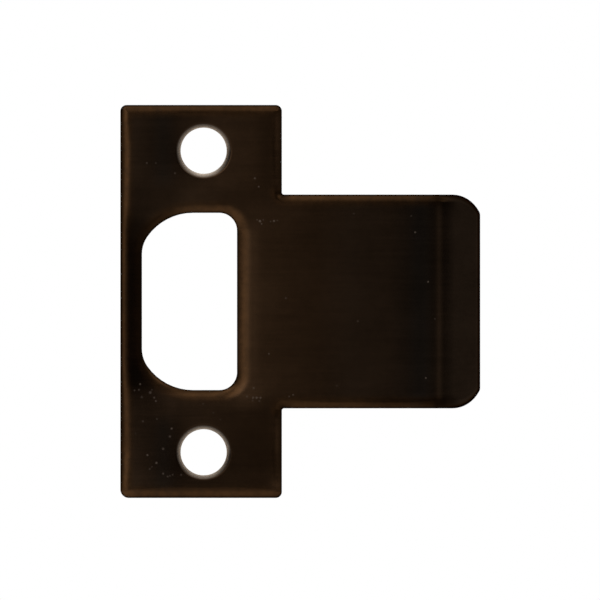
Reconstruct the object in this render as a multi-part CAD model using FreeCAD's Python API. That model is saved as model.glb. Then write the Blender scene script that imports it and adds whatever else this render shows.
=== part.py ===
import FreeCAD, Part
import math
import os

# Door strike plate with an extended lip, stamped from one piece of sheet metal.
#
# The plate is screwed into a shallow recess in a door jamb through two countersunk
# holes. The door's latch bolt rides over the lip, whose end is bent back out of its
# way, and drops into the tall opening.
#
# Frame, as fixed to a jamb: +Z up along the plate, +X from the plate towards the end
# of the lip, and +Y into the jamb. The origin is midway between the two screw holes,
# on the back face, which is the face that lies against the jamb. All sizes are in
# millimetres.

# Sheet
thickness = 2.4

# Plate: the tall rectangle that takes the screws
plate_height = 69.85
plate_width = 28.7
plate_corner_radius = 0.9

# Screw holes: one near each end, both on one line along the plate
screw_end_inset = 8.125  # from an end of the plate to the centre of its hole
screw_line_inset = 14.8  # from the plate's free long edge to the line of the holes
screw_bore_diameter = 8.2
countersink_diameter = 9.7
countersink_angle = 82.0

# Opening for the latch bolt: tight corners by the lip, and wide sweeping ones by the
# free edge of the plate. A sweep turns away from that edge on one radius and goes
# on with a larger one.
opening_end_inset = 19.175  # metal left between each end of the plate and the opening
opening_edge_inset = 3.83  # metal left between the plate's free edge and the opening
opening_width = 16.9
tight_corner_radius = 3.15
sweep_first_radius = 5.4
sweep_second_radius = 9.9
sweep_first_turn = 35.0

# Lip: runs flat from the plate and is bent back near its end. The tongue is the
# straight piece past the bend. Its corners are rounded before the end is trimmed,
# so they meet the end at a slight angle, which is softened.
lip_height = 38.0
lip_flat_reach = 41.3  # from the line of the screws to the start of the bend
lip_root_radius = 0.4  # inside corners, where the lip leaves the plate
bend_angle = 30.0
bend_inner_radius = 4.2
tongue_length = 5.9
tongue_corner_radius = 6.3
tongue_trim = 0.75
tongue_end_softening = 1.5

# Rounded rims of the front face, and the lightly broken ones of the back face
outer_rim_round = 1.2
opening_rim_round = 1.4
back_rim_break = 0.2

# Most of the untrimmed tongue's length that its corners may take up
tongue_corner_share = 0.98

# How far a cutting solid stands clear of the metal, and how near counts as touching
clear = 5.0
touching = 1e-4

# Places that follow from the sizes above
free_edge_x = -screw_line_inset
lip_side_x = free_edge_x + plate_width
plate_top = plate_height / 2
screw_z = plate_top - screw_end_inset
opening_top = plate_top - opening_end_inset
opening_left_x = free_edge_x + opening_edge_inset
opening_right_x = opening_left_x + opening_width
lip_top = lip_height / 2
quarter_turn = math.pi / 2
first_turn = math.radians(sweep_first_turn)
bend = math.radians(bend_angle)
bend_outer_radius = bend_inner_radius + thickness
bend_axis = FreeCAD.Vector(lip_flat_reach, bend_inner_radius, 0.0)
tongue_along = FreeCAD.Vector(math.cos(bend), math.sin(bend), 0.0)
tongue_outward = FreeCAD.Vector(math.sin(bend), -math.cos(bend), 0.0)
tongue_start = bend_axis + tongue_outward * bend_outer_radius
trimmed_end = tongue_start + tongue_along * tongue_length
untrimmed_end = trimmed_end + tongue_along * tongue_trim
front_y = -thickness
ahead_y = front_y - clear
behind_y = untrimmed_end.y + thickness + clear


def line(start, end):
    return Part.LineSegment(start, end).toShape()


def arc(start, middle, end):
    return Part.Arc(start, middle, end).toShape()


def on_bend(radius, angle):
    """Point at a radius and a turn round the bend's axis."""
    direction = FreeCAD.Vector(math.sin(angle), -math.cos(angle), 0.0)
    return bend_axis + direction * radius


def in_front_view(x, z):
    return FreeCAD.Vector(x, 0.0, z)


def sheet_section():
    """The folded sheet seen along Z: plate and flat lip, bend, and untrimmed tongue."""
    front_bend = [on_bend(bend_outer_radius, share * bend) for share in (0.0, 0.5, 1.0)]
    back_bend = [on_bend(bend_inner_radius, share * bend) for share in (1.0, 0.5, 0.0)]
    untrimmed_back_end = untrimmed_end - tongue_outward * thickness
    front_corner = FreeCAD.Vector(free_edge_x, front_y, 0.0)
    back_corner = FreeCAD.Vector(free_edge_x, 0.0, 0.0)
    edges = [
        line(front_corner, front_bend[0]),
        arc(*front_bend),
        line(front_bend[2], untrimmed_end),
        line(untrimmed_end, untrimmed_back_end),
        line(untrimmed_back_end, back_bend[0]),
        arc(*back_bend),
        line(back_bend[2], back_corner),
        line(back_corner, front_corner),
    ]
    return Part.Face(Part.Wire(edges))


def rounded_polygon(corners):
    """Closed outline in the front view from (x, z, radius) corners taken in order."""
    points = [in_front_view(x, z) for x, z, radius in corners]
    edges = []
    last_end = None
    first_start = None
    for i, (x, z, radius) in enumerate(corners):
        to_last = (points[i - 1] - points[i]).normalize()
        to_next = (points[(i + 1) % len(points)] - points[i]).normalize()
        half_angle = to_last.getAngle(to_next) / 2
        setback = radius / math.tan(half_angle)
        start = points[i] + to_last * setback
        end = points[i] + to_next * setback
        if last_end is None:
            first_start = start
        else:
            edges.append(line(last_end, start))
        if radius > 0:
            inward = (to_last + to_next).normalize()
            middle = points[i] + inward * (radius / math.sin(half_angle) - radius)
            edges.append(arc(start, middle, end))
        last_end = end
    edges.append(line(last_end, first_start))
    return Part.Wire(edges)


def through_sheet(outline):
    """Solid with an outline of the front view that reaches right through the sheet."""
    outline.translate(FreeCAD.Vector(0.0, ahead_y, 0.0))
    return Part.Face(outline).extrude(FreeCAD.Vector(0.0, behind_y - ahead_y, 0.0))


def blank_outline():
    """Plate and lip from the front. The lip is left long, since the section of the
    sheet already ends it."""
    past_tongue = untrimmed_end.x + clear
    return rounded_polygon(
        [
            (free_edge_x, plate_top, plate_corner_radius),
            (lip_side_x, plate_top, plate_corner_radius),
            (lip_side_x, lip_top, lip_root_radius),
            (past_tongue, lip_top, 0.0),
            (past_tongue, -lip_top, 0.0),
            (lip_side_x, -lip_top, lip_root_radius),
            (lip_side_x, -plate_top, plate_corner_radius),
            (free_edge_x, -plate_top, plate_corner_radius),
        ]
    )


def opening_outline():
    """The latch opening, clockwise from the sweep in its upper corner."""
    radius_gain = sweep_second_radius - sweep_first_radius
    second = in_front_view(
        opening_left_x + sweep_first_radius + radius_gain * math.cos(first_turn),
        opening_top - sweep_second_radius,
    )
    first = in_front_view(
        opening_left_x + sweep_first_radius,
        second.z + radius_gain * math.sin(first_turn),
    )
    tight = in_front_view(
        opening_right_x - tight_corner_radius,
        opening_top - tight_corner_radius,
    )
    upper_arcs = [
        arc_points(first, sweep_first_radius, 0.0, first_turn),
        arc_points(second, sweep_second_radius, first_turn, quarter_turn),
        arc_points(tight, tight_corner_radius, quarter_turn, 2 * quarter_turn),
    ]
    lower_arcs = [
        [in_front_view(p.x, -p.z) for p in reversed(points)]
        for points in reversed(upper_arcs)
    ]
    arcs = upper_arcs + lower_arcs
    edges = []
    for i, points in enumerate(arcs):
        edges.append(arc(*points))
        next_start = arcs[(i + 1) % len(arcs)][0]
        if (next_start - points[2]).Length > touching:
            edges.append(line(points[2], next_start))
    return Part.Wire(edges)


def arc_points(centre, radius, turn_from, turn_to):
    """Start, middle and end of an arc. A turn is taken clockwise from -X."""
    turns = (turn_from, (turn_from + turn_to) / 2, turn_to)
    return [
        centre + in_front_view(-math.cos(turn), math.sin(turn)) * radius for turn in turns
    ]


def screw_hole(z):
    """The bore and the countersink of one screw hole, as one solid to cut away."""
    start = FreeCAD.Vector(0.0, ahead_y, z)
    inward = FreeCAD.Vector(0.0, 1.0, 0.0)
    bore_radius = screw_bore_diameter / 2
    slope = math.tan(math.radians(countersink_angle) / 2)
    start_radius = countersink_diameter / 2 + clear * slope
    cone_length = (start_radius - bore_radius) / slope
    bore = Part.makeCylinder(bore_radius, behind_y - ahead_y, start, inward)
    cone = Part.makeCone(start_radius, bore_radius, cone_length, start, inward)
    return bore.fuse(cone)


def through_edges(shape, tongue_end):
    """The two edges that run through the sheet where the tongue's end begins."""
    found = []
    for edge in shape.Edges:
        if len(edge.Vertexes) != 2:
            continue
        ends = [vertex.Point for vertex in edge.Vertexes]
        span = abs((ends[1] - ends[0]).dot(tongue_outward))
        end_gaps = [abs((p - tongue_end).dot(tongue_along)) for p in ends]
        if abs(span - thickness) < touching and max(end_gaps) < touching:
            found.append(edge)
    return found


def past_trimmed_end():
    """Block of everything that lies past the tongue's trimmed end."""
    reach = thickness + clear
    near = trimmed_end - tongue_outward * reach
    far = trimmed_end + tongue_outward * reach
    past = tongue_along * (tongue_trim + clear)
    outline = [line(near, far), line(far, far + past)]
    outline += [line(far + past, near + past), line(near + past, near)]
    block = Part.Face(Part.Wire(outline))
    block.translate(FreeCAD.Vector(0.0, 0.0, -lip_height))
    return block.extrude(FreeCAD.Vector(0.0, 0.0, 2 * lip_height))


def is_on_skin(face, depth):
    """Whether a face is part of the flat, the bend or the tongue of one skin of the
    sheet. The back skin is at depth zero and the front one at the full thickness."""
    surface = face.Surface
    centre = face.CenterOfMass
    if isinstance(surface, Part.Cylinder):
        to_axis = surface.Center - bend_axis
        on_axis = math.hypot(to_axis.x, to_axis.y) < touching
        return on_axis and abs(surface.Radius - bend_inner_radius - depth) < touching
    if not isinstance(surface, Part.Plane):
        return False
    is_level = abs(surface.Axis.y) > 1 - touching
    is_sloping = abs(surface.Axis.dot(tongue_outward)) > 1 - touching
    on_level = abs(centre.y + depth) < touching
    tongue_depth = (centre - bend_axis).dot(tongue_outward) - bend_inner_radius
    on_slope = abs(tongue_depth - depth) < touching
    return (is_level and on_level) or (is_sloping and on_slope)


def rims(shape, depth):
    """Edges that bound one skin of the sheet, apart from those of the screw holes."""
    skin = [face for face in shape.Faces if is_on_skin(face, depth)]
    edges = [edge for face in skin for edge in face.Edges]
    found = []
    for edge in edges:
        is_between_skins = sum(edge.isSame(other) for other in edges) > 1
        if not is_between_skins and not is_at_screw_hole(edge):
            found.append(edge)
    return found


def is_at_screw_hole(edge):
    curve = edge.Curve
    if not isinstance(curve, Part.Circle):
        return False
    off_line = abs(curve.Center.x)
    off_hole = abs(abs(curve.Center.z) - screw_z)
    return max(off_line, off_hole) < touching


def is_within_opening(edge, margin):
    """Whether an edge lies inside the opening's outline grown by a margin."""
    box = edge.BoundBox
    reach = margin + touching
    from_left = box.XMin - opening_left_x
    from_right = opening_right_x - box.XMax
    from_end = opening_top - max(box.ZMax, -box.ZMin)
    return min(from_left, from_right, from_end) > -reach


def round_rims(shape):
    """Rounds the front rims of the sheet, then breaks the sharp back ones."""
    opening_rim = [e for e in rims(shape, thickness) if is_within_opening(e, 0.0)]
    shape = shape.makeFillet(opening_rim_round, opening_rim)
    front = rims(shape, thickness)
    outer_rim = [e for e in front if not is_within_opening(e, opening_rim_round)]
    shape = shape.makeFillet(outer_rim_round, outer_rim)
    return shape.makeFillet(back_rim_break, rims(shape, 0.0))


def strike_plate():
    section = sheet_section()
    section.translate(FreeCAD.Vector(0.0, 0.0, -plate_top))
    sheet = section.extrude(FreeCAD.Vector(0.0, 0.0, plate_height))
    shape = sheet.common(through_sheet(blank_outline()))
    corner_limit = tongue_corner_share * (tongue_length + tongue_trim)
    corner_radius = min(tongue_corner_radius, corner_limit)
    shape = shape.makeFillet(corner_radius, through_edges(shape, untrimmed_end))
    shape = shape.cut(past_trimmed_end())
    shape = shape.makeFillet(tongue_end_softening, through_edges(shape, trimmed_end))
    shape = shape.cut(through_sheet(opening_outline()))
    for z in (screw_z, -screw_z):
        shape = shape.cut(screw_hole(z))
    return round_rims(shape)


def main():
    os.makedirs("parts", exist_ok=True)
    plate = strike_plate()
    plate.exportStep("parts/strike_plate.step")
    box = plate.optimalBoundingBox(True, False)
    print("valid", plate.isValid(), "solids", len(plate.Solids))
    print("faces", len(plate.Faces), "volume", round(plate.Volume, 1), "mm3")
    print("x", round(box.XMin, 3), round(box.XMax, 3))
    print("y", round(box.YMin, 3), round(box.YMax, 3))
    print("z", round(box.ZMin, 3), round(box.ZMax, 3))


main()
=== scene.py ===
import math

import bmesh
import bpy
import numpy as np
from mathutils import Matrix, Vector
from mathutils.geometry import delaunay_2d_cdt
from mathutils.kdtree import KDTree


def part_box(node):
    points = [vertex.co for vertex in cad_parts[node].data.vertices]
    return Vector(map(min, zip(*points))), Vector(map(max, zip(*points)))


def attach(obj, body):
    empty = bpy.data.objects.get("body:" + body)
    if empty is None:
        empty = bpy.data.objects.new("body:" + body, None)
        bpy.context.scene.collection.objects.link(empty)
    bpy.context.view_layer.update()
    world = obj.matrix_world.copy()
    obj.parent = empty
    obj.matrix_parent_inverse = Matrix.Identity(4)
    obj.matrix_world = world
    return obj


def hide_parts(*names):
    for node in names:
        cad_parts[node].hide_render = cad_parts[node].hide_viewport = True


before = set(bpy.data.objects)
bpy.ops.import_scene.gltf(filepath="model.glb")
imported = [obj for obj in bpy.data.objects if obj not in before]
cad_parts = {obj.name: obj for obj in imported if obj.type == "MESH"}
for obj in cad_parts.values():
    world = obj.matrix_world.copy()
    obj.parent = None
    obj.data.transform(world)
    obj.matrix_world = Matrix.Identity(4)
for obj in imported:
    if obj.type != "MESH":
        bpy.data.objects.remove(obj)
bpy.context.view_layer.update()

# Door strike plate: one bent sheet of dark bronzed metal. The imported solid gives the
# overall sizes. This script stands a finer sheet in its place, which also has the
# slight dish that punching leaves round each opening. Lengths are in millimetres up
# to the finished mesh, and the lights and the camera are in metres.
#
# The sheet is worked out unfolded: s runs from the screw line along the sheet, z runs
# up, and depth runs from the back skin, at zero, to the front one.

MM = 0.001
NODE = "strike_plate"

low, high = (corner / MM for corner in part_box(NODE))
THICKNESS = -low.y
FREE_EDGE = low.x
PLATE_TOP = high.z

# Outline, as the solid has it, except for the radii of the plate's corners. The latch
# opening's wide corners sweep through two arcs, and a small arc softens each of the
# tongue's trimmed corners.
PLATE_WIDTH = 28.7
PLATE_CORNER = 1.1
LOWER_LEFT_CORNER = 1.5
SCREW_Z = PLATE_TOP - 8.125
BORE = 4.1
COUNTERSINK = 4.85
COUNTERSINK_HALF_ANGLE = math.radians(41.0)
OPENING_LEFT = FREE_EDGE + 3.83
OPENING_RIGHT = OPENING_LEFT + 16.9
OPENING_TOP = PLATE_TOP - 19.175
TIGHT_CORNER = 3.15
SWEEP_FIRST = 5.4
SWEEP_SECOND = 9.9
SWEEP_TURN = math.radians(35.0)
LIP_TOP = 19.0
LIP_ROOT = 0.4
BEND_START = 41.3
BEND = math.radians(30.0)
BEND_INNER = 4.2
TONGUE = 5.9
TONGUE_CORNER = 6.3
TONGUE_TRIM = 0.75
TONGUE_SOFTENING = 1.5

# Rims. A rim's section is a superellipse. The outer rim's round is wider on the plate's
# left, bottom and right edges, and narrower under the lip. The latch opening's round is
# widest on the lip's side, and wider below than above.
OUTER_ROUND = 1.4
LEFT_EXTRA = 0.5
BOTTOM_EXTRA = 0.4
RIGHT_EXTRA = 0.3
LIP_BOTTOM_EXTRA = -0.4
EXTRA_RAMP = 5.0
OPENING_ROUND = 1.6
OPENING_LIP_EXTRA = 0.6
OPENING_BOTTOM_EXTRA = 0.25
OPENING_SIDES_EXTRA = 0.35
WIDEST_ROUND = 2.7
ROUND_POWER = 1.6
ROUND_DEPTH_SHARE = 0.55
TONGUE_DEPTH_SHARE = 0.9
SHELF = 0.2
BACK_BREAK = 0.2
MOUTH_SOFTENING = 0.15
MOUTH_STEPS = ((1.0, 0.0), (0.3, 0.12), (-0.4, 0.7))
CONE_STEPS = (0.4, 0.6, 0.8, 1.0)
BORE_STEP = THICKNESS / 3

# How far the front skin sinks at the edge of the latch opening and of a screw hole, and
# the distance over which that fades, how far the strip left of the opening leans for
# each millimetre, with the heights over which that starts, and the groove that the press
# leaves at the bend
OPENING_DISH = 0.7
OPENING_DISH_REACH = 5.5
OPENING_ROLL = 0.2
OPENING_ROLL_REACH = 2.5
STRIP_LEAN = 0.1
STRIP_END = (17.0, 9.0)
SCREW_DISH = 0.32
SCREW_DISH_REACH = 4.5
GROOVE_S = 41.45
GROOVE_WIDTH = 0.8
GROOVE_DEPTH = 0.08

# How far from an edge its wear, with its painted highlight, is full, and where it ends
WEAR_START = 1.0
WEAR_END = 2.6

# The painted shade of a dark line where a rim turns into its wall: how dark it is, how
# far from the edge, seen from the front, it is full and ends, and how far from the back it
# starts and is full
PAINTED_EDGE_SHADE = 0.6
EDGE_LINE_FULL = 0.1
EDGE_LINE_END = 0.45
EDGE_LINE_DEPTHS = (0.7, 1.2)

# Painted light and shade along the lip, as pairs of x and a value there: the tone of its
# flat, paler near the plate and with painted shade before the bend, what its rims have on
# top of a share of that, as painted highlight and shade, and how grey it is, a painted
# reflection
LIP_PAINTED_LIGHT = (
    (10.4, 1.55), (17.1, 1.37), (24.2, 1.17), (31.4, 1.03), (33.1, 0.97), (36.3, 0.69),
    (38.5, 0.56), (41.0, 0.72), (43.0, 0.82), (44.6, 1.0), (50.0, 1.04),
)
LIP_RIM_SHARE = 0.9
LIP_RIM_PAINTED_LIGHT = (
    (33.0, 0.0), (35.0, 0.15), (37.3, 0.42), (38.5, 0.25), (40.6, 0.0), (41.3, -0.25),
    (42.3, -0.62), (43.4, -0.65), (44.5, -0.4), (46.0, -0.3),
)
LIP_GREYS = (
    (10.4, 0.05), (20.0, 0.08), (26.0, 0.32), (33.0, 0.3), (36.0, 0.5), (38.0, 1.0),
    (39.2, 1.0), (41.6, 0.3), (43.5, 0.5), (50.0, 0.5),
)

# Nicks in the finish: their s, z, radius and how pale each is
NICKS = (
    (-11.3, -14.7, 0.26, 1.0), (-12.3, -15.8, 0.24, 0.7), (-11.5, -15.7, 0.24, 0.8),
    (-11.0, -17.0, 0.34, 0.45), (-9.5, -16.2, 0.36, 0.8), (-8.8, -17.1, 0.27, 0.8),
    (-8.5, -17.7, 0.25, 0.9), (-10.8, -21.3, 0.26, 0.6), (-8.3, -20.9, 0.2, 0.6),
    (-5.7, -22.6, 0.27, 1.1), (-6.0, -24.0, 0.3, 0.7), (-7.2, -26.2, 0.32, 0.7),
    (-10.0, -27.3, 0.26, 0.9), (-8.4, -28.7, 0.3, 1.0), (-9.2, -29.4, 0.18, 0.6),
    (-9.6, -29.8, 0.24, 0.5), (-7.2, -30.6, 0.28, 0.7), (-6.4, -31.1, 0.24, 0.6),
    (-6.0, -31.0, 0.22, 0.5), (-5.5, -30.8, 0.22, 0.6), (-4.0, -30.8, 0.24, 0.6),
    (-12.1, -23.5, 0.16, 0.5), (-13.0, -19.2, 0.3, 0.4), (-10.1, -11.9, 0.22, 0.3),
    (8.9, -15.4, 0.28, 0.5), (7.7, -16.9, 0.26, 0.4), (8.8, -17.1, 0.3, 0.6),
    (9.4, -17.1, 0.3, 0.7), (10.1, -17.1, 0.28, 0.6), (8.7, -17.6, 0.24, 0.3),
    (9.9, -17.7, 0.26, 0.35), (15.9, -16.6, 0.24, 0.6), (15.2, -16.9, 0.2, 0.5),
    (10.0, 14.3, 0.3, 0.9), (12.5, 14.3, 0.28, 0.8), (37.6, 12.3, 0.26, 0.8),
    (39.9, 3.5, 0.24, 0.9), (39.5, -13.6, 0.22, 0.9), (14.6, 0.6, 0.22, 0.6),
    (27.4, -3.5, 0.2, 0.7), (23.7, -15.0, 0.18, 0.5), (26.7, 15.6, 0.18, 0.5),
    (11.6, -9.3, 0.24, 0.5), (41.1, -3.1, 0.18, 0.6), (36.9, 15.2, 0.18, 0.5),
    (-10.1, 24.6, 0.22, 0.6), (-8.5, 24.6, 0.2, 0.5), (-5.1, 22.8, 0.22, 0.6),
    (9.1, 21.9, 0.28, 0.6), (9.8, 20.4, 0.22, 0.7), (-0.8, 17.5, 0.2, 0.4),
    (10.3, 13.8, 0.2, 0.7), (9.5, 14.5, 0.16, 0.6), (10.6, 14.5, 0.16, 0.6),
    (11.9, 14.2, 0.16, 0.6), (13.1, 14.4, 0.16, 0.6), (-9.2, -15.7, 0.16, 0.6),
    (-0.1, -18.2, 0.2, 0.4), (1.7, -19.8, 0.2, 0.4), (3.0, -21.0, 0.16, 0.4),
)

# Fineness of the mesh, how many pitches the skins' grid keeps off the rims, how far it
# keeps off a nick, and how far a nick keeps off the rims
PITCH = 0.45
ARC_STEP = math.radians(7.5)
RIM_STEPS = 12
BACK_STEPS = 4
BEND_COLUMNS = 15
NICK_SIDES = 6
RIM_CLEARANCE = 0.6
NICK_CLEARANCE = 0.12
NICK_OFF_RIM = 0.1
SHARP_ANGLE = math.radians(30)

# How close two places are that count as one: on an edge or a nick, where two arcs meet,
# as vertices, and for the triangles
TOLERANCE = 0.01
TOUCHING = 1e-6
MERGING = 1e-4
TRIANGLE_TOLERANCE = 1e-7

BEND_LENGTH = (BEND_INNER + THICKNESS) * BEND
TONGUE_START = BEND_START + BEND_LENGTH
TONGUE_END = TONGUE_START + TONGUE
LIP_SIDE = FREE_EDGE + PLATE_WIDTH
OPENING_CENTRE = ((OPENING_LEFT + OPENING_RIGHT) / 2, 0.0)
OPENING_HALF = ((OPENING_RIGHT - OPENING_LEFT) / 2, OPENING_TOP)
OPENING_CORNER = 5.0
RIGHT_ANGLE = math.pi / 2


def ease(value, start, end):
    """0 before the start and 1 past the end, with a smooth way between them."""
    share = np.clip((value - start) / (end - start), 0.0, 1.0)
    return share**2 * (3 - 2 * share)


def hump(value, centre, width):
    """1 at the centre, with a smooth way down to 0 over about two widths."""
    return np.exp(-(((value - centre) / width) ** 2))


def blend(start, end, share):
    """The start where the share is 0, the end where it is 1, and a mix between."""
    return start + (end - start) * share


def bent_share(s):
    """How much of the bend lies before each point: 0 on the flat, 1 on the tongue."""
    return np.clip((s - BEND_START) / BEND_LENGTH, 0.0, 1.0)


def fold(points, depth):
    """Places of unfolded (s, z) points at their depths, as rows of x, y and z."""
    s, z = points[:, 0], points[:, 1]
    turn = bent_share(s) * BEND
    before = np.minimum(s, BEND_START)
    after = np.maximum(s - TONGUE_START, 0.0)
    radius = BEND_INNER + depth
    x = before + radius * np.sin(turn) + after * np.cos(turn)
    y = BEND_INNER - radius * np.cos(turn) + after * np.sin(turn)
    return np.column_stack([x, y, z])


# A rim is sampled as rows of ten numbers: its s and z, the direction into the metal
# (2), how far the sample may go that way before it meets the next side of a tight
# corner, what it moves from there on for each millimetre (2), how much farther a
# sample on the straight beside an arc may go for each millimetre away from that arc,
# and the place that sets the round's width there (2), one for each tight corner.


def arc(centre, radius, start, end, into):
    """Samples of an arc, where into is -1 if the metal is on the centre's side, else 1."""
    count = max(2, math.ceil(abs(end - start) / ARC_STEP)) + 1
    angles = np.linspace(start, end, count)
    radial = np.column_stack([np.cos(angles), np.sin(angles)])
    middle, half = (start + end) / 2, abs(end - start) / 2
    rows = np.empty((count, 10))
    rows[:, 0:2] = np.array(centre) + radius * radial
    rows[:, 2:4] = into * radial
    rows[:, 4] = radius if into < 0 else np.inf
    rows[:, 5:7] = into * np.array([math.cos(middle), math.sin(middle)]) / math.cos(half)
    rows[:, 7] = 1 / math.tan(half)
    rows[:, 8:10] = centre if radius < WIDEST_ROUND else rows[:, 0:2]
    return rows


def straight(start, end):
    """Samples between the ends of two arcs."""
    length = math.hypot(*(end[:2] - start[:2]))
    shares = np.linspace(0.0, 1.0, math.ceil(length / PITCH) + 1)[1:-1, None]
    rows = np.zeros((len(shares), 10))
    rows[:, 0:2] = rows[:, 8:10] = start[:2] + (end[:2] - start[:2]) * shares
    rows[:, 2:4] = start[2:4]
    way = shares[:, 0] * length
    after_start = start[4] + way * start[7]
    before_end = end[4] + (length - way) * end[7]
    near_start = after_start < before_end
    rows[:, 4] = np.minimum(after_start, before_end)
    rows[:, 5:7] = np.where(near_start[:, None], start[5:7], end[5:7])
    tight = rows[:, 4] < WIDEST_ROUND
    rows[tight & near_start, 8:10] = start[8:10]
    rows[tight & ~near_start, 8:10] = end[8:10]
    return rows


def joined(arcs):
    """A closed rim: the arcs, in order, with straight runs of samples between them.
    Where two arcs touch, the tighter one keeps the sample that they share."""
    runs = []
    for i, rows in enumerate(arcs):
        before, after = arcs[i - 1], arcs[(i + 1) % len(arcs)]
        shares_start = math.hypot(*(rows[0, :2] - before[-1, :2])) < TOUCHING
        shares_end = math.hypot(*(rows[-1, :2] - after[0, :2])) < TOUCHING
        first = 1 if shares_start and before[-1, 4] <= rows[0, 4] else 0
        last = -1 if shares_end and after[0, 4] < rows[-1, 4] else None
        runs.append(rows[first:last])
        if not shares_end:
            runs.append(straight(rows[-1], after[0]))
    return np.vstack(runs)


def mirrored(arcs):
    """Arcs of a rim's upper half and, after them, those of its lower half."""
    flip = [1, -1, 1, -1, 1, 1, -1, 1, 1, -1]
    lower = [rows[::-1] * flip for rows in reversed(arcs)]
    return arcs + lower


def outer_rim():
    """The sheet's outline, unfolded."""
    big = (TONGUE_END + TONGUE_TRIM - TONGUE_CORNER, LIP_TOP - TONGUE_CORNER)
    small_s = TONGUE_END - TONGUE_SOFTENING
    reach = TONGUE_CORNER - TONGUE_SOFTENING
    rise = math.sqrt(reach**2 - (small_s - big[0]) ** 2)
    meeting = math.atan2(rise, small_s - big[0])
    root = (LIP_SIDE + LIP_ROOT, LIP_TOP + LIP_ROOT)
    right = (LIP_SIDE - PLATE_CORNER, PLATE_TOP - PLATE_CORNER)
    upper = [
        arc((small_s, big[1] + rise), TONGUE_SOFTENING, 0.0, meeting, -1),
        arc(big, TONGUE_CORNER, meeting, RIGHT_ANGLE, -1),
        arc(root, LIP_ROOT, -RIGHT_ANGLE, -2 * RIGHT_ANGLE, 1),
        arc(right, PLATE_CORNER, 0.0, RIGHT_ANGLE, -1),
        left_corner(PLATE_CORNER),
    ]
    arcs = mirrored(upper)
    _, arcs[len(upper)] = mirrored([left_corner(LOWER_LEFT_CORNER)])
    return joined(arcs)


def left_corner(radius):
    """The plate's upper left corner."""
    centre = (FREE_EDGE + radius, PLATE_TOP - radius)
    return arc(centre, radius, RIGHT_ANGLE, 2 * RIGHT_ANGLE, -1)


def opening_rim():
    """The latch opening: tight corners on the lip's side, wide ones on the other."""
    tight = (OPENING_RIGHT - TIGHT_CORNER, OPENING_TOP - TIGHT_CORNER)
    gain = SWEEP_SECOND - SWEEP_FIRST
    first_s = OPENING_LEFT + SWEEP_FIRST
    second = (first_s + gain * math.cos(SWEEP_TURN), OPENING_TOP - SWEEP_SECOND)
    first = (first_s, second[1] + gain * math.sin(SWEEP_TURN))
    meeting = 2 * RIGHT_ANGLE - SWEEP_TURN
    upper = [
        arc(tight, TIGHT_CORNER, 0.0, RIGHT_ANGLE, 1),
        arc(second, SWEEP_SECOND, RIGHT_ANGLE, meeting, 1),
        arc(first, SWEEP_FIRST, meeting, 2 * RIGHT_ANGLE, 1),
    ]
    return joined(mirrored(upper))


def screw_rim(z):
    """The bore of a screw hole."""
    return arc((0.0, z), BORE, 0.0, 4 * RIGHT_ANGLE, 1)[:-1]


def outer_round(rim):
    """The round's width and depth along the outer rim."""
    s, z = rim[:, 8], rim[:, 9]
    edges = [
        (LEFT_EXTRA, s - FREE_EDGE, PLATE_TOP - np.abs(z)),
        (BOTTOM_EXTRA, z + PLATE_TOP, np.minimum(s - FREE_EDGE, LIP_SIDE - s)),
        (RIGHT_EXTRA, s - LIP_SIDE, np.minimum(PLATE_TOP - np.abs(z), np.abs(z) - LIP_TOP)),
        (LIP_BOTTOM_EXTRA, z + LIP_TOP, np.minimum(s - LIP_SIDE, TONGUE_START - s)),
    ]
    widths = np.full(len(rim), OUTER_ROUND)
    for extra, off_edge, along in edges:
        ramp = np.clip((along - WIDEST_ROUND) / EXTRA_RAMP, 0.0, 1.0)
        widths += np.where(np.abs(off_edge) < TOLERANCE, extra * ramp, 0.0)
    share = blend(ROUND_DEPTH_SHARE, TONGUE_DEPTH_SHARE, bent_share(rim[:, 0]))
    return widths, widths * share


def opening_round(rim):
    """The round's width and depth along the latch opening's rim."""
    right, up = rim[:, 2], rim[:, 3]
    widths = OPENING_ROUND + OPENING_LIP_EXTRA * right - OPENING_BOTTOM_EXTRA * up
    widths += OPENING_SIDES_EXTRA * right**2
    return widths, widths * ROUND_DEPTH_SHARE


def inset(rim, distance):
    """Points of a rim moved into the metal by a distance."""
    near = np.minimum(distance, rim[:, 4])
    return rim[:, 0:2] + rim[:, 2:4] * near[:, None] + rim[:, 5:7] * (distance - near)[:, None]


def rounded_profile(widths, deep):
    """(inset, depth) steps of a rim from the front skin over its round to the back."""
    steps = [(widths + SHELF, THICKNESS)]
    for turn in np.linspace(0.0, RIGHT_ANGLE, RIM_STEPS + 1):
        way = math.sin(turn)
        drop = 1 - (1 - way**ROUND_POWER) ** (1 / ROUND_POWER)
        steps.append((widths * (1 - way), THICKNESS - deep * drop))
    middle = (THICKNESS - deep + BACK_BREAK) / 2
    return steps + [(0.0, middle)] + broken_back()


def broken_back():
    """The last steps of every rim, over its lightly rounded back edge."""
    turns = np.linspace(0.0, RIGHT_ANGLE, BACK_STEPS + 1)
    return [
        (BACK_BREAK * (1 - math.cos(turn)), BACK_BREAK * (1 - math.sin(turn)))
        for turn in turns
    ]


def countersunk_profile():
    """The same for a screw hole, over its softened mouth and down its cone."""
    mouth = COUNTERSINK - BORE
    cone = mouth / math.tan(COUNTERSINK_HALF_ANGLE)
    steps = [(mouth + MOUTH_SOFTENING + SHELF, THICKNESS)]
    for out, down in MOUTH_STEPS:
        steps.append((mouth + MOUTH_SOFTENING * out, THICKNESS - MOUTH_SOFTENING * down))
    for share in CONE_STEPS:
        steps.append((mouth * (1 - share), THICKNESS - cone * share))
    return steps + [(0.0, BORE_STEP)] + broken_back()


def distance_to_box(points, centre, half, corner):
    """Distance of points from a rectangle with rounded corners."""
    over = np.abs(points - centre) - (np.array(half) - corner)
    outside = np.hypot(*np.maximum(over, 0.0).T)
    return np.maximum(outside + np.minimum(over.max(axis=1), 0.0) - corner, 0.0)


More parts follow.
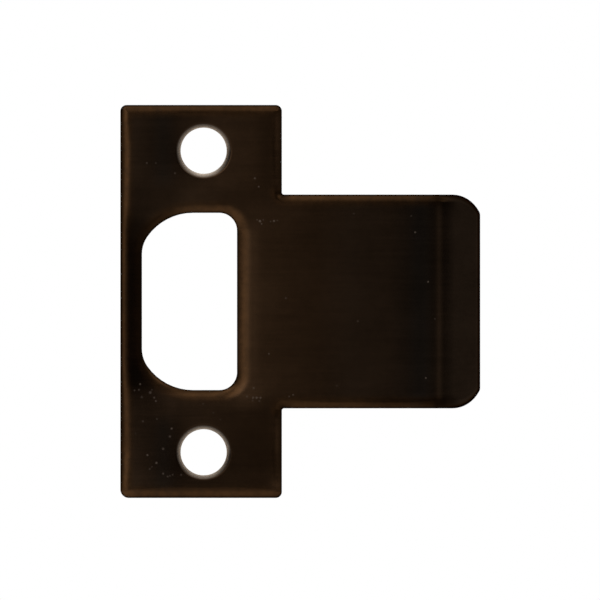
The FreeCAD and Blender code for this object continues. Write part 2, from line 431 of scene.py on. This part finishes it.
def dish(points):
    """How far the front skin sinks at (s, z) points, in a valley round each opening,
    and on the narrow strip left of the latch opening, which leans towards it."""
    reach = distance_to_box(points, OPENING_CENTRE, OPENING_HALF, OPENING_CORNER)
    sunk = OPENING_DISH * np.exp(-reach / OPENING_DISH_REACH)
    sunk += OPENING_ROLL * np.exp(-reach / OPENING_ROLL_REACH)
    across = np.clip(points[:, 0] - FREE_EDGE, 0.0, OPENING_LEFT - FREE_EDGE)
    beyond = np.maximum(points[:, 0] - OPENING_LEFT, 0.0)
    beside = ease(np.abs(points[:, 1]), *STRIP_END)
    sunk += STRIP_LEAN * across * np.exp(-beyond) * beside
    for z in (SCREW_Z, -SCREW_Z):
        reach = np.hypot(points[:, 0], points[:, 1] - z) - BORE
        sunk += SCREW_DISH * np.exp(-np.maximum(reach, 0.0) / SCREW_DISH_REACH)
    return sunk + GROOVE_DEPTH * hump(points[:, 0], GROOVE_S, GROOVE_WIDTH)


def inside(points, loop):
    """Whether each point is inside a closed loop, by counting crossings to its right."""
    x, y = points[:, 0][:, None], points[:, 1][:, None]
    x1, y1 = loop[:, 0], loop[:, 1]
    x2, y2 = np.roll(x1, -1), np.roll(y1, -1)
    spans = (y1 > y) != (y2 > y)
    with np.errstate(divide="ignore", invalid="ignore"):
        crossing = x1 + (y - y1) * (x2 - x1) / (y2 - y1)
    return (spans & (x < crossing)).sum(axis=1) % 2 == 1


def tree_of(places):
    """A tree that finds the nearest of some places."""
    places = list(places)
    tree = KDTree(len(places))
    for i, place in enumerate(places):
        tree.insert(place, i)
    tree.balance()
    return tree


def filling(loops):
    """Points of a grid inside the first loop, outside the others and clear of all."""
    flat = np.arange(FREE_EDGE, BEND_START, PITCH)
    bend = np.linspace(BEND_START, TONGUE_START, BEND_COLUMNS)
    tongue = np.arange(TONGUE_START, TONGUE_END, PITCH)[1:]
    columns = np.concatenate([flat, bend, tongue])
    rows = np.arange(-PLATE_TOP, PLATE_TOP, PITCH)
    grid = np.stack(np.meshgrid(columns, rows), axis=-1).reshape(-1, 2)
    keep = inside(grid, loops[0])
    for loop in loops[1:]:
        keep &= ~inside(grid, loop)
    grid = grid[keep]
    rims = tree_of((s, z, 0.0) for s, z in np.vstack(loops))
    gaps = np.array([rims.find((s, z, 0.0))[2] for s, z in grid])
    return grid[gaps > RIM_CLEARANCE * PITCH]


def with_nicks(grid, loops):
    """The grid with a centre and a ring of points for each nick in the open skin."""
    turns = np.arange(NICK_SIDES) * (4 * RIGHT_ANGLE / NICK_SIDES)
    ring = np.vstack([[0.0, 0.0], np.column_stack([np.cos(turns), np.sin(turns)])])
    for s, z, radius, _ in NICKS:
        points = np.array([s, z]) + radius * ring
        wide = np.array([s, z]) + (radius + NICK_OFF_RIM) * ring
        in_hole = any(inside(wide, hole).any() for hole in loops[1:])
        if inside(wide, loops[0]).all() and not in_hole:
            grid = grid[np.hypot(*(grid - points[0]).T) > radius + NICK_CLEARANCE]
            grid = np.vstack([grid, points])
    return grid


def skin_triangles(loops, extra):
    """Triangles between loops, as indices into the loops' points and the extra ones."""
    points = np.vstack(loops + [extra])
    edges = []
    first = 0
    for loop in loops:
        ids = np.arange(first, first + len(loop))
        edges += list(zip(ids.tolist(), np.roll(ids, -1).tolist()))
        first += len(loop)
    corners = [Vector(point) for point in points]
    found = delaunay_2d_cdt(corners, edges, [], 0, TRIANGLE_TOLERANCE, True)
    back = [ids[0] for ids in found[3]]
    triangles = np.array([[back[i] for i in face] for face in found[2]])
    middles = points[triangles].mean(axis=1)
    keep = inside(middles, loops[0])
    for loop in loops[1:]:
        keep &= ~inside(middles, loop)
    return triangles[keep]


def build_sheet():
    """The whole sheet as one closed mesh: its rims, its two skins and its finish."""
    outer, opening = outer_rim(), opening_rim()
    rims = [
        (outer, rounded_profile(*outer_round(outer))),
        (opening, rounded_profile(*opening_round(opening))),
        (screw_rim(SCREW_Z), countersunk_profile()),
        (screw_rim(-SCREW_Z), countersunk_profile()),
    ]
    mesh = bmesh.new()

    def add(points, depth):
        depth = np.zeros(len(points)) + depth
        depth -= dish(points) * depth / THICKNESS
        return [mesh.verts.new(place * MM) for place in fold(points, depth)]

    fronts, backs = [], []
    for rim, profile in rims:
        rings = [add(inset(rim, distance), depth) for distance, depth in profile]
        for upper, lower in zip(rings, rings[1:]):
            count = len(upper)
            for i in range(count):
                j = (i + 1) % count
                mesh.faces.new((upper[i], lower[i], lower[j], upper[j]))
        fronts.append((inset(rim, profile[0][0]), rings[0]))
        backs.append((inset(rim, profile[-1][0]), rings[-1]))
    for skin, depth in ((fronts, THICKNESS), (backs, 0.0)):
        loops = [points for points, _ in skin]
        extra = filling(loops)
        if depth > 0:
            extra = with_nicks(extra, loops)
        verts = [v for _, ring in skin for v in ring] + add(extra, depth)
        for triangle in skin_triangles(loops, extra):
            mesh.faces.new([verts[i] for i in triangle])
    bmesh.ops.remove_doubles(mesh, verts=mesh.verts, dist=MERGING * MM)
    bmesh.ops.recalc_face_normals(mesh, faces=mesh.faces)
    store_finish(mesh, (outer, opening))
    return mesh


# Patches of painted light, shade and reflection. Each is an amount and then what
# multiplies it: an ease with its two ends, or a hump with its centre and width, along x,
# z, up or off. Up is the height above or below the middle, and off is the distance from
# the latch opening. A patch with nothing after its amount is everywhere.
#
# Tones multiply the patina's colour, so it is paler above 1: paler tones are painted
# light and painted highlights, and darker ones painted shade. Those of the plate's flat:
# how much paler it is at its top, as painted light from above, and its patches
PAINTED_TOP_LIGHT = 0.12
PLATE_PAINTED_LIGHT = (
    # All round the latch opening, above all over and under its middle
    (0.1, (ease, "off", 10.0, 5.0)),
    (0.5, (ease, "off", 10.0, 5.0), (hump, "x", -0.5, 4.0)),
    # The top right, and the far left of both ends
    (0.45, (ease, "x", -2.0, 4.0), (ease, "x", 11.5, 8.0), (ease, "z", 19.0, 23.0)),
    (0.25, (ease, "up", 19.0, 23.0), (ease, "x", -10.0, -13.0)),
    # Darker left of the screw holes, and paler at the left below the opening
    (-0.3, (ease, "up", 19.0, 23.0), (hump, "x", -7.0, 3.0)),
    (0.2, (ease, "z", -17.0, -21.0), (ease, "x", -4.0, -7.0)),
    # Darker over the opening's wide corner, paler under it, and darker over its middle
    (-0.3, (ease, "x", -3.0, -6.0), (ease, "z", 15.0, 16.5), (ease, "z", 22.0, 19.0)),
    (0.35, (ease, "x", -3.0, -6.0), (ease, "z", -15.0, -16.5), (ease, "z", -22.0, -19.0)),
    (-0.45, (hump, "x", 1.0, 5.0), (ease, "z", 21.0, 18.0), (ease, "z", 10.0, 15.0)),
)

# Where the lip's tones take over from the plate's
LIP_AREA = ((1.0, (ease, "x", 6.0, 12.0), (ease, "up", 19.0, 15.5)),)

# Painted highlights on top of both
FLAT_PAINTED_HIGHLIGHTS = (
    # The shoulder under the latch opening and right of its lower corner
    (0.5, (hump, "x", 8.0, 2.4), (hump, "z", -16.4, 1.8)),
    (0.5, (hump, "x", -1.0, 5.0), (ease, "z", -12.5, -15.0), (ease, "z", -21.5, -18.5)),
    (
        0.9,
        (hump, "x", 7.0, 3.0),
        (ease, "z", -12.5, -15.0),
        (ease, "z", -21.5, -18.5),
        (ease, "z", -20.0, -17.5),
    ),
    # The bottom, and a spot in its right corner
    (0.3, (ease, "z", -28.5, -31.5)),
    (1.2, (hump, "x", 12.9, 1.0), (hump, "z", -32.6, 1.0)),
    # Right of the opening's rim, the bend's groove, and inside the plate's right edges
    (0.7, (hump, "x", 8.7, 1.2), (ease, "up", 15.0, 12.0)),
    (0.55, (hump, "x", 41.9, 0.5)),
    (0.9, (hump, "x", 12.95, 0.35), (ease, "up", 20.0, 21.0)),
)

# The latch opening's rim, with its painted highlights and shade: its tones over, beside
# and below the opening, the length by which its sides' tone falls with the height, the
# heights at which the sides turn into the ends, how far from the opening the rim ends,
# and a painted glint in its upper right corner
OVER_OPENING = ((0.6,), (1.1, (ease, "x", -7.0, -1.5)))
OVER_OPENING_EDGE = ((-0.55, (ease, "z", 16.4, 17.4)),)
BESIDE_OPENING = ((0.9,), (0.8, (ease, "x", -9.0, 4.0)))
BESIDE_OPENING_FADE = 70.0
BELOW_OPENING = 1.15
OPENING_TURN = (11.0, 15.0)
OPENING_RIM_END = (3.0, 2.0)
OPENING_RIM_GLINT = ((0.4, (hump, "x", 6.2, 1.2), (hump, "z", 14.9, 1.2)),)
# A painted highlight band under the opening, a little off its edge, with painted shade at the
# edge itself
OPENING_RIM_BOTTOM = (
    (0.45, (ease, "z", -14.5, -16.0), (hump, "off", 1.05, 0.45)),
    (-0.45, (ease, "z", -14.5, -16.0), (hump, "off", 0.2, 0.4)),
)

# The plate's rims, with painted highlights that are palest at the bottom left, where they
# turn into the lip's, and the painted light and shade that changes them all
PLATE_RIM = ((1.1,), (0.4, (ease, "z", -25.0, -29.0), (ease, "x", -11.0, -13.0)))
LIP_RIM_START = (12.0, 15.0)
RIM_PAINTED_LIGHT_AND_SHADE = (
    # Painted shade in the plate's right corners, and in the corners where the lip starts
    ((-0.45, (hump, "x", 13.7, 1.1), (hump, "up", 34.3, 1.1)),),
    ((-0.75, (hump, "x", LIP_SIDE + 0.2, 1.3), (hump, "up", LIP_TOP + 0.2, 1.3)),),
    # Painted light from below, where a rim faces down
    (
        (1.0, (ease, "z", 1.7 - PLATE_TOP, 0.8 - PLATE_TOP)),
        (
            0.35,
            (ease, "x", 13.0, 15.0),
            (ease, "x", 43.0, 36.0),
            (ease, "z", 1.3 - LIP_TOP, 0.7 - LIP_TOP),
        ),
    ),
)

# Painted shade on the flats and the rims alike
PAINTED_SHADE = (
    # Painted shade inside the lip's rims before the bend, and along the rest of its bottom one
    (
        (-0.5, (hump, "z", -17.8, 0.8), (ease, "x", 25.0, 35.0), (ease, "x", 46.0, 44.0)),
        (-0.3, (hump, "z", 17.0, 1.2), (ease, "x", 25.0, 35.0), (ease, "x", 46.0, 44.0)),
    ),
    ((-0.2, (hump, "z", -17.7, 0.7), (ease, "x", 14.5, 16.0), (ease, "x", 35.0, 25.0)),),
    # Painted shade on the narrow strip beside the opening, most at its left edge
    (
        (-0.25, (ease, "x", -8.0, -11.0), (ease, "up", 17.0, 13.0)),
        (
            -0.38,
            (ease, "x", -8.0, -11.0),
            (ease, "x", -14.0, -13.2),
            (ease, "up", 18.0, 14.5),
        ),
    ),
)

# How grey the plate is, a painted reflection, most left of the screw holes, and over
# what width that turns into the lip's grey
PLATE_GREYS = ((0.3,), (0.5, (hump, "x", -7.0, 1.8), (ease, "up", 19.0, 23.0)))
GREY_TURN = (-14.0, LIP_SIDE)

# Painted shade on the plate's right rims: the wear there keeps most of the darker finish
RIGHT_RIM_PAINTED_SHADE = (
    (
        -0.85,
        (ease, "x", 11.2, 12.0),
        (ease, "x", 14.45, 14.35),
        (ease, "up", 19.6, 20.4),
        (ease, "up", 33.9, 33.0),
    ),
)


def patches(table, places):
    """The sum of a table's patches at each place."""
    total = 0.0
    for amount, *edges in table:
        for shape, axis, first, second in edges:
            amount = amount * shape(places[axis], first, second)
        total = total + amount
    return total


def flat_painted_light(places, lip):
    """Painted light and shade of the flats: the plate's, which turn into the lip's."""
    tones = 1.0 + PAINTED_TOP_LIGHT * places["z"] / PLATE_TOP + patches(PLATE_PAINTED_LIGHT, places)
    tones = blend(tones, lip, patches(LIP_AREA, places))
    return tones + patches(FLAT_PAINTED_HIGHLIGHTS, places)


def rim_painted_light(places, lip):
    """Painted highlights and shade of the worn rims: the latch opening's, the plate's and the
    lip's.
    """
    over = patches(OVER_OPENING, places) * (1 + patches(OVER_OPENING_EDGE, places))
    beside = patches(BESIDE_OPENING, places) * (1 - places["z"] / BESIDE_OPENING_FADE)
    ends = np.where(places["z"] > 0, over, BELOW_OPENING)
    tones = blend(beside, ends, ease(places["up"], *OPENING_TURN))
    at_opening = ease(places["off"], *OPENING_RIM_END)
    tones = blend(patches(PLATE_RIM, places), tones, at_opening)
    tones += patches(OPENING_RIM_GLINT, places)
    tones *= 1 + patches(OPENING_RIM_BOTTOM, places)
    along_lip = LIP_RIM_SHARE * lip + np.interp(places["x"], *zip(*LIP_RIM_PAINTED_LIGHT))
    tones = blend(tones, along_lip, ease(places["x"], *LIP_RIM_START))
    for shade in RIM_PAINTED_LIGHT_AND_SHADE:
        tones *= 1 + patches(shade, places)
    return tones


def painted_light_tones(places, wear_and_highlight):
    """How much paler or darker the painted light and shade make the patina at each place.
    Where the wear and its highlight are full, the place has a rim's tone."""
    lip = np.interp(places["x"], *zip(*LIP_PAINTED_LIGHT))
    tones = blend(flat_painted_light(places, lip), rim_painted_light(places, lip), wear_and_highlight)
    for shade in PAINTED_SHADE:
        tones *= 1 + patches(shade, places)
    return tones


def painted_grey_reflections(places):
    """How far the patina turns grey at each place, a painted reflection, most before the bend.
    """
    lip = np.interp(places["x"], *zip(*LIP_GREYS))
    return blend(patches(PLATE_GREYS, places), lip, ease(places["x"], *GREY_TURN))


def distances(places, others):
    """How far each place is from the nearest of the others."""
    tree = tree_of(others)
    return np.array([tree.find(place)[2] for place in places])


def nick_values(verts):
    """How pale the nick is that has its middle at each vertex, else 0."""
    middles = np.array(NICKS)[:, :2]
    tree = tree_of(fold(middles, THICKNESS - dish(middles)))
    found = [tree.find(vert) for vert in verts]
    return [NICKS[nick][3] if off < TOLERANCE else 0.0 for _, nick, off in found]


def store_finish(mesh, rims):
    """Stores the finish on the vertices: how worn each is, with a painted highlight in the
    wear, which is on the rims but not on the tongue, how pale a nick, how bare, where
    screws have rubbed the countersinks, which is also a painted reflection there, and the
    patina's tone, which is painted light and shade, and its grey, a painted reflection."""
    verts = np.array([vert.co for vert in mesh.verts]) / MM
    x, y, z = verts.T
    off = distance_to_box(verts[:, [0, 2]], OPENING_CENTRE, OPENING_HALF, OPENING_CORNER)
    places = {"x": x, "z": z, "up": np.abs(z), "off": off}
    unbent = 1 - bent_share(x)
    edges = np.vstack([fold(rim[:, :2], THICKNESS) for rim in rims])

    # Worn rims, whose paler colour is partly a painted highlight
    wear_and_highlight = ease(distances(verts, edges), WEAR_END, WEAR_START) * unbent
    wear_and_highlight *= 1 + patches(RIGHT_RIM_PAINTED_SHADE, places)
    in_front_view = np.array([1.0, 0.0, 1.0])
    off_edge = distances(verts * in_front_view, edges * in_front_view)
    # Painted shade: a dark line along each edge, seen from the front
    edge_shade = PAINTED_EDGE_SHADE * ease(off_edge, EDGE_LINE_END, EDGE_LINE_FULL)
    edge_shade *= ease(-y, *EDGE_LINE_DEPTHS) * unbent
    # Rubbed bare in the countersinks, and as pale there as a painted reflection of the white
    off_screw = np.hypot(x, np.abs(z) - SCREW_Z)
    bare_and_reflecting = ease(off_screw, COUNTERSINK + MOUTH_SOFTENING, BORE) ** 2
    bare_and_reflecting *= ease(-y, BACK_BREAK, BORE_STEP)

    finish = {
        "wear_and_highlight": wear_and_highlight,
        "nick": nick_values(verts),
        "bare_and_reflecting": bare_and_reflecting,
        "tone": painted_light_tones(places, wear_and_highlight) * (1 - edge_shade),
        "grey": painted_grey_reflections(places),
    }
    for name, values in finish.items():
        layer = mesh.verts.layers.float.new(name)
        for vert, value in zip(mesh.verts, values):
            vert[layer] = value


def as_object(mesh, name):
    """A smooth object of that name in the scene, made from the mesh."""
    data = bpy.data.meshes.new(name)
    mesh.to_mesh(data)
    mesh.free()
    data.shade_smooth()
    data.set_sharp_from_angle(angle=SHARP_ANGLE)
    made = bpy.data.objects.new(name, data)
    bpy.context.scene.collection.objects.link(made)
    return made


# Colours of the finish: the worn one is partly a painted highlight, the grey one a painted
# reflection, and the bare one rubbed metal with a painted reflection
PATINA = (0.0267, 0.0138, 0.0065, 1.0)
PAINTED_GREY_REFLECTION = (0.0267, 0.0194, 0.0141, 1.0)
WORN_AND_HIGHLIT = (0.048, 0.0231, 0.0094, 1.0)
BARE_AND_REFLECTING = (0.80, 0.68, 0.56, 1.0)
NICKED = (0.21, 0.16, 0.125, 1.0)
GRAZING_TINT = (0.2, 0.16, 0.12, 1.0)

# Its noises: cycles to the millimetre along x, y and z, and detail. Most of what a noise
# gives lies between the low and the high value.
GRAIN = ((0.35, 1.5, 7.0), 3.0)
BRUSHING = ((0.08, 0.6, 2.2), 2.0)
CLOUDS = ((0.13, 0.13, 0.13), 3.0)
MOTTLE = ((0.9, 0.9, 0.9), 3.0)
NOISE_LOW = 0.3
NOISE_HIGH = 0.7

# How much each noise changes the tone, from and to which values the mottle changes the
# wear and its painted highlight, the roughness across the brushing, and the grain's
# height in metres
CLOUDS_CHANGE = 0.12
GRAIN_CHANGE = 0.05
BRUSHING_CHANGE = 0.03
MOTTLE_CHANGE = 0.05
PATCHY_WEAR = (0.3, 0.6, 0.6, 1.0)
ROUGHNESS = (0.23, 0.27)
GRAIN_HEIGHT = 2e-6
GRAIN_STRENGTH = 0.3

# The floor, with its radius in metres and its noise in cycles to the metre
FLOOR_SEGMENTS = 96
FLOOR_RADIUS = 1.2
FLOOR_NOISE = 60.0
FLOOR_TONES = (0.88, 0.9)
FLOOR_ROUGHNESS = 0.9

# The world's light: the radiance of each part, and from where to where it rises along
# the direction's x, y or z, or along the cosine of its angle from the glow's middle. A
# left end has the two shares of the light between which it rises as well. The dark place
# is an ellipse, flatter than it is wide.
TENT = 0.5
TENT_FRONT = (0.2, -0.2)
TENT_LEFT_END = (-0.95, -0.7, 0.25, 1.0)
DARK_PLACE_X = 0.4
DARK_PLACE_FLATNESS = 1.5
DARK_PLACE_EDGE = (0.0, 0.95)
GLOW = 0.15
GLOW_DIRECTION = (-0.643, -0.766, 0.0)
GLOW_EDGE = (math.cos(math.radians(42)), math.cos(math.radians(8)))
RIGHT_SIDE = 0.045
RIGHT_SIDE_EDGE = (0.5, 0.9)
REAR = 0.6
REAR_EDGE = (0.0, 0.4)
REAR_LEFT_END = (-0.95, -0.4, 0.3, 1.0)
CEILING = 0.5
CEILING_EDGE = (0.7, 0.95)
BEHIND_EDGE = (0.8, 0.95)

# Square softboxes round the object: azimuth and elevation in degrees, and radiance
SOFTBOXES = (
    ("left_low", -42, 5, 0.5), ("left_middle", -30, 22, 1.4), ("left_upper", -50, 30, 0.35),
    ("left_high", -50, 50, 0.8), ("front_high", 0, 48, 0.5), ("overhead", 0, 72, 0.25),
    ("right_upper", 30, 30, 1.0), ("right_high", 50, 50, 0.7), ("right_low", 80, 5, 0.1),
)
SOFTBOX_DISTANCE = 0.20
SOFTBOX_SIZE = 0.08
SOFTBOX_AIM = Vector((0.017, 0.0, 0.0))

# The camera: the photo's width and scale in pixels, the x and z in its middle in
# millimetres, and how far off the plate's back it stands and how far it sees in metres
PHOTO_WIDTH = 600
PIXELS_PER_MM = 5.6256
VIEW_X = 17.127
VIEW_Z = 0.26
CAMERA_DISTANCE = 0.5
CAMERA_REACH = 5.0


class Nodes:
    """A short way to write a node tree."""

    def __init__(self, tree):
        self.tree = tree
        tree.nodes.clear()

    def add(self, kind, inputs=None, **settings):
        node = self.tree.nodes.new(kind)
        for name, value in settings.items():
            setattr(node, name, value)
        for name, value in (inputs or {}).items():
            if isinstance(value, bpy.types.NodeSocket):
                self.tree.links.new(value, node.inputs[name])
            else:
                node.inputs[name].default_value = value
        return node

    def maths(self, operation, *values):
        inputs = dict(enumerate(values))
        return self.add("ShaderNodeMath", inputs, operation=operation).outputs[0]

    def scaled(self, vector, scale):
        inputs = {0: vector, 1: scale}
        return self.add("ShaderNodeVectorMath", inputs, operation="MULTIPLY").outputs[0]

    def noise(self, vector, scale, detail=2.0):
        inputs = {"Vector": self.scaled(vector, scale), "Scale": 1.0, "Detail": detail}
        return self.add("ShaderNodeTexNoise", inputs).outputs["Fac"]

    def mapped(self, value, low, high, out_low, out_high, kind="LINEAR"):
        inputs = {"Value": value, "From Min": low, "From Max": high}
        inputs |= {"To Min": out_low, "To Max": out_high}
        return self.add("ShaderNodeMapRange", inputs, interpolation_type=kind).outputs[0]

    def eased(self, value, low, high, out_low, out_high):
        return self.mapped(value, low, high, out_low, out_high, "SMOOTHSTEP")

    def spread(self, noise, low, high):
        return self.mapped(noise, NOISE_LOW, NOISE_HIGH, low, high)

    def stored(self, name):
        return self.add("ShaderNodeAttribute", attribute_name=name).outputs["Fac"]

    def mixed(self, share, first, second):
        inputs = {"Factor": share, "A": first, "B": second}
        return self.add("ShaderNodeMix", inputs, data_type="RGBA").outputs["Result"]


def bronze():
    """Dark bronze with a brushed grain. What is stored on the mesh says where it is paler
    or darker with painted light and shade, greyer with a painted reflection, worn with a
    painted highlight, nicked, or rubbed bare with a painted reflection."""
    material = bpy.data.materials.new("bronzed_metal")
    material.use_nodes = True
    n = Nodes(material.node_tree)
    place = n.add("ShaderNodeTexCoord").outputs["Object"]
    place = n.scaled(place, (1 / MM,) * 3)
    grain, brushing = n.noise(place, *GRAIN), n.noise(place, *BRUSHING)
    clouds, mottle = n.noise(place, *CLOUDS), n.noise(place, *MOTTLE)
    worn_and_highlit = n.maths("MULTIPLY", n.stored("wear_and_highlight"), n.mapped(mottle, *PATCHY_WEAR))
    shade = n.spread(clouds, 1 - CLOUDS_CHANGE, 1 + CLOUDS_CHANGE)
    changes = ((grain, GRAIN_CHANGE), (brushing, BRUSHING_CHANGE), (mottle, MOTTLE_CHANGE))
    for noise, change in changes:
        shade = n.maths("ADD", shade, n.spread(noise, -change, change))
    # The stored tone is painted light and shade
    shade = n.maths("MULTIPLY", shade, n.stored("tone"))
    colour = n.mixed(n.stored("grey"), PATINA, PAINTED_GREY_REFLECTION)
    colour = n.mixed(worn_and_highlit, colour, WORN_AND_HIGHLIT)
    inputs = {0: colour, "Scale": shade}
    colour = n.add("ShaderNodeVectorMath", inputs, operation="SCALE").outputs[0]
    colour = n.mixed(n.stored("nick"), colour, NICKED)
    colour = n.mixed(n.stored("bare_and_reflecting"), colour, BARE_AND_REFLECTING)
    inputs = {"Height": grain, "Strength": GRAIN_STRENGTH, "Distance": GRAIN_HEIGHT}
    shader = n.add(
        "ShaderNodeBsdfPrincipled",
        {
            "Base Color": colour,
            "Metallic": 1.0,
            "Roughness": n.spread(brushing, *ROUGHNESS),
            "Normal": n.add("ShaderNodeBump", inputs).outputs[0],
            "Specular Tint": GRAZING_TINT,
        },
    )
    n.add("ShaderNodeOutputMaterial", {"Surface": shader.outputs[0]})
    return material


def make_floor():
    """A round pale floor under the plate."""
    mesh = bmesh.new()
    size = {"segments": FLOOR_SEGMENTS, "radius": FLOOR_RADIUS}
    bmesh.ops.create_circle(mesh, cap_ends=True, **size)
    floor = as_object(mesh, "floor")
    floor.location.z = -PLATE_TOP * MM
    material = bpy.data.materials.new("pale_floor")
    material.use_nodes = True
    n = Nodes(material.node_tree)
    place = n.add("ShaderNodeTexCoord").outputs["Object"]
    tone = n.spread(n.noise(place, (FLOOR_NOISE,) * 3), *FLOOR_TONES)
    colour = n.add("ShaderNodeCombineColor", {"Red": tone, "Green": tone, "Blue": tone})
    inputs = {"Base Color": colour.outputs[0], "Roughness": FLOOR_ROUGHNESS}
    shader = n.add("ShaderNodeBsdfPrincipled", inputs)
    n.add("ShaderNodeOutputMaterial", {"Surface": shader.outputs[0]})
    floor.data.materials.append(material)


def make_world():
    """White to the camera. Other rays find a dim tent in front, with a dark place on its
    right, in which the camera stands, and a glow on its left, a brighter rear and
    ceiling, and a faint light on the right. Glossy ones also find the white behind the
    object."""
    world = bpy.data.worlds.new("studio")
    bpy.context.scene.world = world
    world.use_nodes = True
    n = Nodes(world.node_tree)
    direction = n.add("ShaderNodeTexCoord").outputs["Generated"]
    axes = n.add("ShaderNodeSeparateXYZ", {0: direction}).outputs
    beside = n.maths("SUBTRACT", axes["X"], DARK_PLACE_X)
    above = n.maths("MULTIPLY", axes["Z"], DARK_PLACE_FLATNESS)
    squares = [n.maths("MULTIPLY", value, value) for value in (beside, above)]
    off_dark = n.maths("SQRT", n.maths("ADD", *squares))
    tent = n.eased(off_dark, *DARK_PLACE_EDGE, 0.0, TENT)
    tent = n.maths("MULTIPLY", tent, n.eased(axes["Y"], *TENT_FRONT, 0.0, 1.0))
    tent = n.maths("MULTIPLY", tent, n.mapped(axes["X"], *TENT_LEFT_END))
    inputs = {0: direction, 1: GLOW_DIRECTION}
    towards = n.add("ShaderNodeVectorMath", inputs, operation="DOT_PRODUCT").outputs["Value"]
    glow = n.eased(towards, *GLOW_EDGE, 0.0, GLOW)
    right = n.eased(axes["X"], *RIGHT_SIDE_EDGE, 0.0, RIGHT_SIDE)
    rear = n.eased(axes["Y"], *REAR_EDGE, 0.0, REAR)
    rear = n.maths("MULTIPLY", rear, n.eased(axes["X"], *REAR_LEFT_END))
    ceiling = n.eased(axes["Z"], *CEILING_EDGE, 0.0, CEILING)
    lit = n.maths("ADD", n.maths("ADD", tent, glow), right)
    lit = n.maths("ADD", lit, n.maths("MAXIMUM", rear, ceiling))
    rays = n.add("ShaderNodeLightPath").outputs
    behind = n.mapped(axes["Y"], *BEHIND_EDGE, 0.0, 1.0)
    behind = n.maths("MULTIPLY", behind, rays["Is Glossy Ray"])
    seen = n.maths("MAXIMUM", rays["Is Camera Ray"], rays["Is Transmission Ray"])
    strength = n.maths("MAXIMUM", n.maths("MAXIMUM", seen, behind), lit)
    shader = n.add("ShaderNodeBackground", {"Color": (1, 1, 1, 1), "Strength": strength})
    n.add("ShaderNodeOutputWorld", {"Surface": shader.outputs[0]})


def add_softbox(name, azimuth, elevation, radiance):
    """A square lamp aimed at the plate. Azimuth 0 is the camera's side, and it grows
    towards the right."""
    data = bpy.data.lights.new(name, "AREA")
    data.shape = "SQUARE"
    data.size = SOFTBOX_SIZE
    data.energy = math.pi * SOFTBOX_SIZE**2 * radiance
    lamp = bpy.data.objects.new(name, data)
    bpy.context.scene.collection.objects.link(lamp)
    turn, rise = math.radians(azimuth), math.radians(elevation)
    away = Vector(
        (math.sin(turn) * math.cos(rise), -math.cos(turn) * math.cos(rise), math.sin(rise))
    )
    lamp.location = SOFTBOX_AIM + away * SOFTBOX_DISTANCE
    lamp.rotation_euler = away.to_track_quat("Z", "Y").to_euler()
    lamp.visible_camera = False


def add_camera():
    """Square on, with the photo's frame."""
    data = bpy.data.cameras.new("camera")
    data.type = "ORTHO"
    data.ortho_scale = PHOTO_WIDTH / PIXELS_PER_MM * MM
    data.clip_end = CAMERA_REACH
    camera = bpy.data.objects.new("camera", data)
    bpy.context.scene.collection.objects.link(camera)
    camera.location = (VIEW_X * MM, -CAMERA_DISTANCE, VIEW_Z * MM)
    camera.rotation_euler = (RIGHT_ANGLE, 0.0, 0.0)
    bpy.context.scene.camera = camera


plate = as_object(build_sheet(), "plate")
plate.data.materials.append(bronze())
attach(plate, "root")
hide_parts(NODE)

make_floor()
make_world()
for softbox in SOFTBOXES:
    add_softbox(*softbox)
add_camera()
bpy.context.scene.view_settings.view_transform = "Standard"
